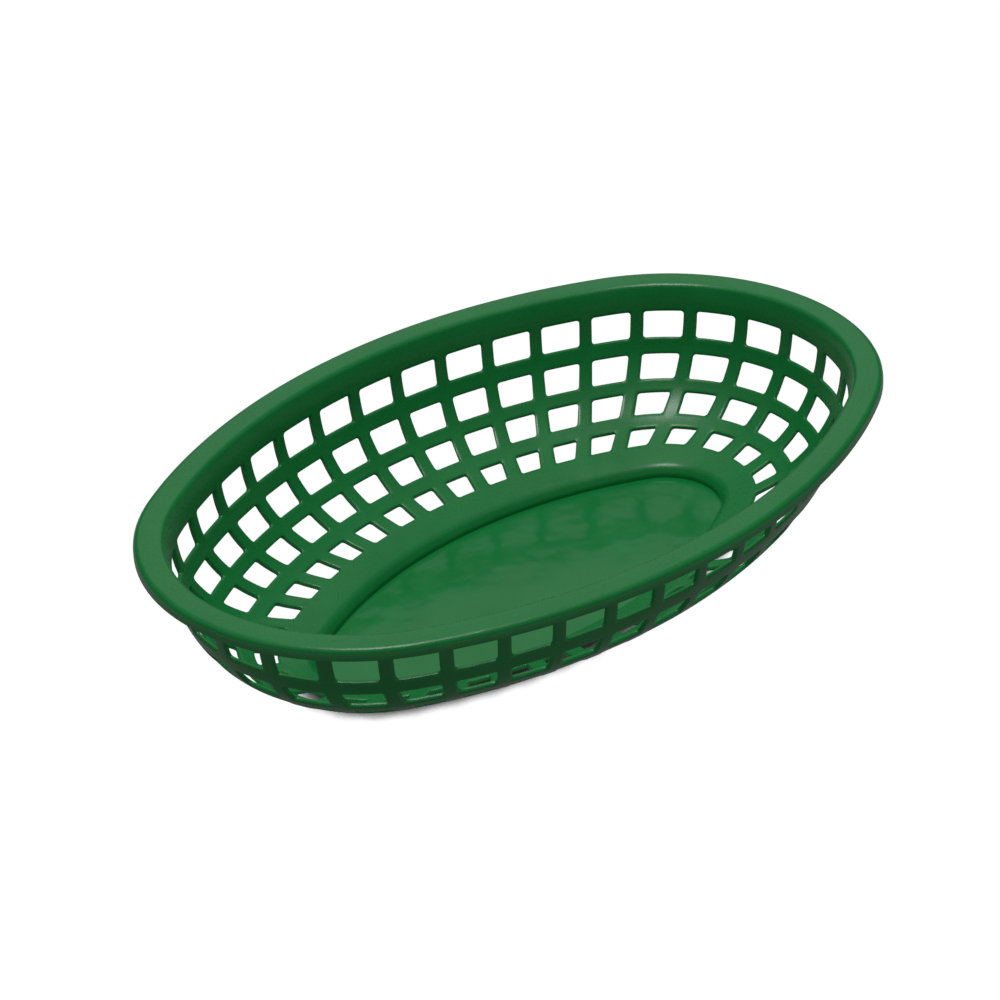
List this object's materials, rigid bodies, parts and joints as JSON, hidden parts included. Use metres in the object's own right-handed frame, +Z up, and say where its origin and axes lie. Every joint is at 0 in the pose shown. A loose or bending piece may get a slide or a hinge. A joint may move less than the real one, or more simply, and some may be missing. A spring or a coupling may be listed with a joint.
{
  "type": "serving basket",
  "caption": "Shallow oval serving basket in moulded plastic, with a flanged rim, an open lattice wall of ribs and hoops, and a recessed flat floor.",
  "frame": {"origin": "on the table, under the middle of the floor", "axes": "+X along the basket's length, +Y across it, +Z up out of its mouth"},
  "size_m": [0.26, 0.1686, 0.05],
  "materials": {
    "green_plastic": "glossy moulded green plastic with a faint ripple"
  },
  "bodies": {
    "root": {"rim": "green_plastic", "hoop_1": "green_plastic", "hoop_2": "green_plastic", "hoop_3": "green_plastic", "rib_01": "green_plastic", "rib_02": "green_plastic", "rib_03": "green_plastic", "rib_04": "green_plastic", "rib_05": "green_plastic", "rib_06": "green_plastic", "rib_07": "green_plastic", "rib_08": "green_plastic", "rib_09": "green_plastic", "rib_10": "green_plastic", "rib_11": "green_plastic", "rib_12": "green_plastic", "rib_13": "green_plastic", "rib_14": "green_plastic", "rib_15": "green_plastic", "rib_16": "green_plastic", "rib_17": "green_plastic", "rib_18": "green_plastic", "rib_19": "green_plastic", "rib_20": "green_plastic", "rib_21": "green_plastic", "rib_22": "green_plastic", "rib_23": "green_plastic", "rib_24": "green_plastic", "rib_25": "green_plastic", "rib_26": "green_plastic", "rib_27": "green_plastic", "rib_28": "green_plastic", "rib_29": "green_plastic", "rib_30": "green_plastic", "rib_31": "green_plastic", "rib_32": "green_plastic", "rib_33": "green_plastic", "rib_34": "green_plastic", "rib_35": "green_plastic", "rib_36": "green_plastic", "base_ledge": "green_plastic", "floor_pan": "green_plastic"}
  },
  "joints": []
}
